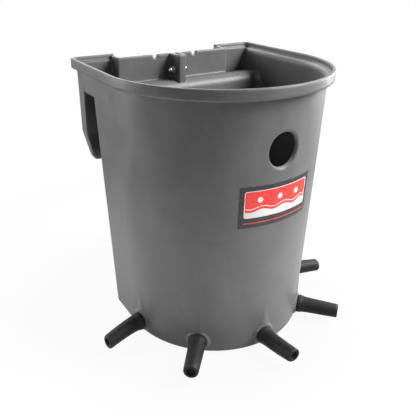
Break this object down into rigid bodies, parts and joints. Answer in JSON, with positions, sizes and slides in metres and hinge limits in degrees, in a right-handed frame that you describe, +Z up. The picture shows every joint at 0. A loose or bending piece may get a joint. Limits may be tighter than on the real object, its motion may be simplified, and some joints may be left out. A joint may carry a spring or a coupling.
{
  "type": "multi teat lamb feeder",
  "caption": "Open grey feeding tub with a round front, rubber teats round its foot and hollow hooks at the back that hang it on a rail.",
  "frame": {"origin": "on the floor plane, at the axis of the round front", "axes": "+Z up, -Y towards the round front, +X to the right seen from the front"},
  "size_m": [0.3604, 0.3106, 0.34],
  "materials": {
    "tub_plastic": "satin moulded polyethylene",
    "teat_rubber": "matte moulded rubber",
    "keeper_plastic": "moulded nylon",
    "steel": "stainless",
    "label_film": "printed film"
  },
  "bodies": {
    "tub": {"tub": "tub_plastic", "pivot_sleeve": "steel", "pivot_bolt": "steel", "head_washer": "steel", "nut_washer": "steel", "lock_nut": "steel", "front_label": "label_film"},
    "rail_keeper": {"rail_keeper": "keeper_plastic"},
    "teat_1": {"teat_1": "teat_rubber"},
    "teat_2": {"teat_2": "teat_rubber"},
    "teat_3": {"teat_3": "teat_rubber"},
    "teat_4": {"teat_4": "teat_rubber"},
    "teat_5": {"teat_5": "teat_rubber"}
  },
  "joints": [
    {"name": "keeper_swing", "type": "hinge", "parent": "tub", "child": "rail_keeper", "pos_m": [0, 0.0915, 0.318], "axis": [1, 0, 0], "range_deg": [0, 90]},
    {"name": "teat_1_turn", "type": "hinge", "parent": "tub", "child": "teat_1", "pos_m": [-0.12472, -0.02199, 0.0195], "axis": [-0.9848, -0.1736, 0], "continuous": true},
    {"name": "teat_2_turn", "type": "hinge", "parent": "tub", "child": "teat_2", "pos_m": [-0.08141, -0.09702, 0.0195], "axis": [-0.6428, -0.766, 0], "continuous": true},
    {"name": "teat_3_turn", "type": "hinge", "parent": "tub", "child": "teat_3", "pos_m": [0, -0.12664, 0.0195], "axis": [0, -1, 0], "continuous": true},
    {"name": "teat_4_turn", "type": "hinge", "parent": "tub", "child": "teat_4", "pos_m": [0.08141, -0.09702, 0.0195], "axis": [0.6428, -0.766, 0], "continuous": true},
    {"name": "teat_5_turn", "type": "hinge", "parent": "tub", "child": "teat_5", "pos_m": [0.12472, -0.02199, 0.0195], "axis": [0.9848, -0.1736, 0], "continuous": true}
  ]
}
